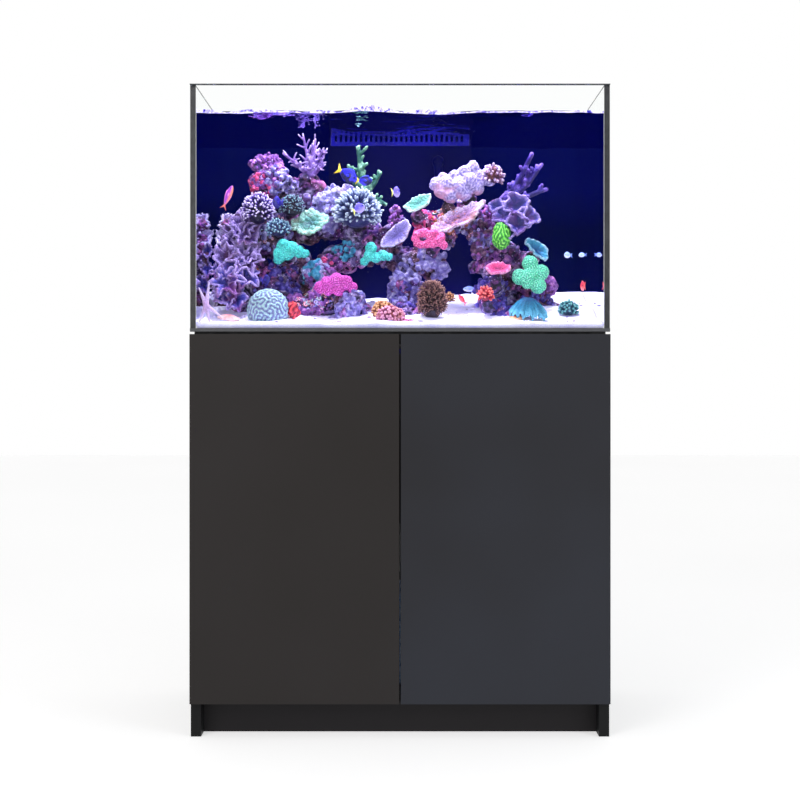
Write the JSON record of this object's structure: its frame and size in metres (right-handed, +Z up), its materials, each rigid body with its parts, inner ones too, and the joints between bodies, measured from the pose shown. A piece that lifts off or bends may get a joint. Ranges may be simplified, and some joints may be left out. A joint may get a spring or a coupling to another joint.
{
  "type": "aquarium on stand",
  "caption": "Rimless reef aquarium with corals, fish and weir on a black cabinet with hinged doors over a sump.",
  "frame": {"origin": "on the floor under the middle of the object", "axes": "+X to the right, -Y out of the doors, +Z up"},
  "size_m": [0.9, 0.5, 1.4],
  "materials": {
    "carcass": "satin black laminate",
    "plinth": "satin black laminate",
    "fittings": "nickel-plated steel",
    "doors": "matt charcoal lacquer",
    "latch": "grey moulded plastic",
    "mat": "closed-cell foam",
    "glass": "clear low-iron glass",
    "sump_glass": "clear glass",
    "silicone": "black silicone",
    "film": "dark blue film",
    "weir": "black acrylic",
    "comb": "blue-lit acrylic",
    "pipe": "dark grey pipe",
    "handle": "red moulded plastic",
    "felt": "white felt",
    "white_plastic": "white moulded plastic",
    "reservoir": "dark polyethylene",
    "sand": "fine coral sand",
    "rock": "porous reef rock",
    "coral_green": "fleshy green coral",
    "coral_bushy": "pale bushy coral",
    "coral_violet": "violet branching coral",
    "coral_pale": "pale plating coral",
    "coral_pink": "pink leafy coral"
  },
  "bodies": {
    "cabinet": {"side_panel_left": "carcass", "side_panel_right": "carcass", "cabinet_top": "carcass", "cabinet_floor": "carcass", "back_panel": "carcass", "back_rail": "carcass", "kick_board": "plinth", "cam_fittings": "fittings", "hinge_arms_left": "fittings", "hinge_arms_right": "fittings", "latch_bodies": "latch", "levelling_mat": "mat", "glass_front": "glass", "glass_back": "glass", "glass_left": "glass", "glass_right": "glass", "glass_base": "glass", "silicone_seams": "silicone", "back_film": "film", "weir_box": "weir", "bulkheads": "pipe", "standpipe_main": "pipe", "standpipe_spare": "pipe", "return_riser": "pipe", "drain_pipe": "pipe", "spare_drain_pipe": "pipe", "return_pipe": "pipe", "sump_tank": "sump_glass", "sock_holder": "pipe", "pump_body": "pipe", "float_valve": "white_plastic", "topup_tank": "reservoir", "sand_bed": "sand", "rock_left": "rock", "rock_middle": "rock", "rock_right": "rock", "brain_corals": "coral_green", "bushy_coral": "coral_bushy", "branching_corals": "coral_violet", "plate_corals": "coral_pale", "leaf_corals": "coral_pink"},
    "left_links": {"hinge_links_left": "fittings"},
    "left_door": {"door_left": "doors", "hinge_cups_left": "fittings", "strike_left": "fittings"},
    "right_links": {"hinge_links_right": "fittings"},
    "right_door": {"door_right": "doors", "hinge_cups_right": "fittings", "strike_right": "fittings"},
    "left_plunger": {"latch_plunger_left": "latch"},
    "right_plunger": {"latch_plunger_right": "latch"},
    "comb": {"weir_comb": "comb"},
    "lid": {"weir_lid": "weir"},
    "nozzle": {"return_nozzle": "pipe"},
    "handle": {"valve_handle": "handle"},
    "sock": {"filter_sock": "felt"},
    "impeller": {"pump_impeller": "white_plastic"},
    "float": {"float_arm": "white_plastic"}
  },
  "joints": [
    {"name": "left_link_turn", "type": "hinge", "parent": "cabinet", "child": "left_links", "pos_m": [-0.4165, -0.2325, 0.47], "axis": [0, 0, 1], "range_deg": [0, 38]},
    {"name": "left_door_hinge", "type": "hinge", "parent": "left_links", "child": "left_door", "pos_m": [-0.439, -0.2331, 0.47], "axis": [0, 0, -1], "range_deg": [0, 138]},
    {"name": "right_link_turn", "type": "hinge", "parent": "cabinet", "child": "right_links", "pos_m": [0.4165, -0.2325, 0.47], "axis": [0, 0, -1], "range_deg": [0, 38]},
    {"name": "right_door_hinge", "type": "hinge", "parent": "right_links", "child": "right_door", "pos_m": [0.439, -0.2331, 0.47], "axis": [0, 0, 1], "range_deg": [0, 138]},
    {"name": "left_plunger_press", "type": "slide", "parent": "cabinet", "child": "left_plunger", "axis": [0, 1, 0], "range_m": [0, 0.003], "stiffness_N_per_m": 150, "springref_m": -0.004},
    {"name": "right_plunger_press", "type": "slide", "parent": "cabinet", "child": "right_plunger", "axis": [0, 1, 0], "range_m": [0, 0.003], "stiffness_N_per_m": 150, "springref_m": -0.004},
    {"name": "comb_lift", "type": "slide", "parent": "cabinet", "child": "comb", "axis": [0, 0, 1], "range_m": [0, 0.05]},
    {"name": "lid_lift", "type": "slide", "parent": "cabinet", "child": "lid", "axis": [0, 0, 1], "range_m": [0, 0.06]},
    {"name": "nozzle_swivel", "type": "hinge", "parent": "cabinet", "child": "nozzle", "pos_m": [0.09, 0.08, 1.286], "axis": [0, -1, 0], "range_deg": [-100, 100]},
    {"name": "valve_turn", "type": "hinge", "parent": "cabinet", "child": "handle", "pos_m": [-0.09, 0.1, 0.64], "axis": [0, -1, 0], "range_deg": [0, 90]},
    {"name": "sock_lift", "type": "slide", "parent": "cabinet", "child": "sock", "axis": [0, 0, 1], "range_m": [0, 0.2]},
    {"name": "impeller_spin", "type": "hinge", "parent": "cabinet", "child": "impeller", "pos_m": [0.09, 0.03, 0.148], "axis": [0, 1, 0], "continuous": true},
    {"name": "float_swing", "type": "hinge", "parent": "cabinet", "child": "float", "pos_m": [0.116, -0.04, 0.328], "axis": [-1, 0, 0], "range_deg": [-25, 10]}
  ],
  "couplings": [
    {"joint": "left_link_turn", "follows": "left_door_hinge", "ratio": 0.27536},
    {"joint": "right_link_turn", "follows": "right_door_hinge", "ratio": 0.27536}
  ]
}
